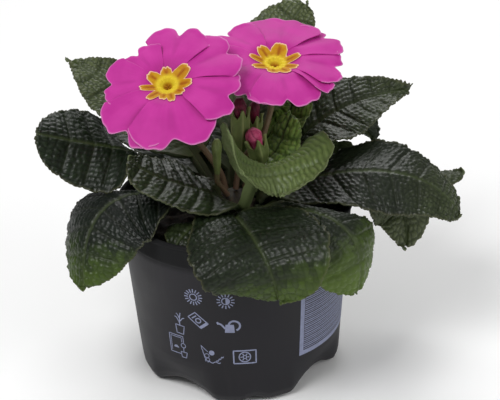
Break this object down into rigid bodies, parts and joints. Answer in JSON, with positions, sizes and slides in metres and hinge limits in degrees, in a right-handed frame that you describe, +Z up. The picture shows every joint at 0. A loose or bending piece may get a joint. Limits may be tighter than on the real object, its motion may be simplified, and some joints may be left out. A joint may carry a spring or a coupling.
{
  "type": "potted primrose",
  "caption": "Primrose plant with wrinkled leaves, two open pink blooms with yellow eyes and buds, growing in soil in a tapered plastic nursery pot.",
  "frame": {"origin": "centre of the flat pad under the pot's base", "axes": "+Z up along the pot's axis, +Y away from the side with the big front leaf, +X to the right of that side"},
  "size_m": [0.165, 0.1353, 0.1355],
  "materials": {
    "pot_plastic": "satin",
    "soil": "matte",
    "crown": "matte",
    "leaf_dark": "satin",
    "leaf_young": "satin",
    "stem_green": "satin",
    "petal_pink": "satin",
    "eye_yellow": "satin",
    "bud_pink": "satin",
    "bud_wine": "satin"
  },
  "bodies": {
    "root": {"pot": "pot_plastic", "soil": "soil", "crown": "crown", "leaf_left_back": "leaf_dark", "leaf_left": "leaf_dark", "leaf_left_low": "leaf_dark", "leaf_left_under": "leaf_dark", "leaf_left_front": "leaf_dark", "leaf_front": "leaf_dark", "leaf_front_right": "leaf_dark", "leaf_right": "leaf_dark", "leaf_right_under": "leaf_dark", "leaf_right_far": "leaf_dark", "leaf_right_back": "leaf_dark", "leaf_right_back_low": "leaf_dark", "leaf_top_back": "leaf_dark", "leaf_back": "leaf_dark", "leaf_back_left": "leaf_dark", "leaf_heart_front": "leaf_young", "leaf_heart_back": "leaf_young", "leaf_heart_far": "leaf_young", "flower_left_petals": "petal_pink", "flower_left_eye": "eye_yellow", "flower_left_stem": "stem_green", "flower_right_petals": "petal_pink", "flower_right_eye": "eye_yellow", "flower_right_stem": "stem_green", "bud_front_calyx": "stem_green", "bud_front_petals": "bud_pink", "bud_back_calyx": "stem_green", "bud_back_petals": "bud_wine", "bud_middle_calyx": "stem_green", "bud_middle_petals": "bud_wine", "bud_green": "stem_green"}
  },
  "joints": []
}
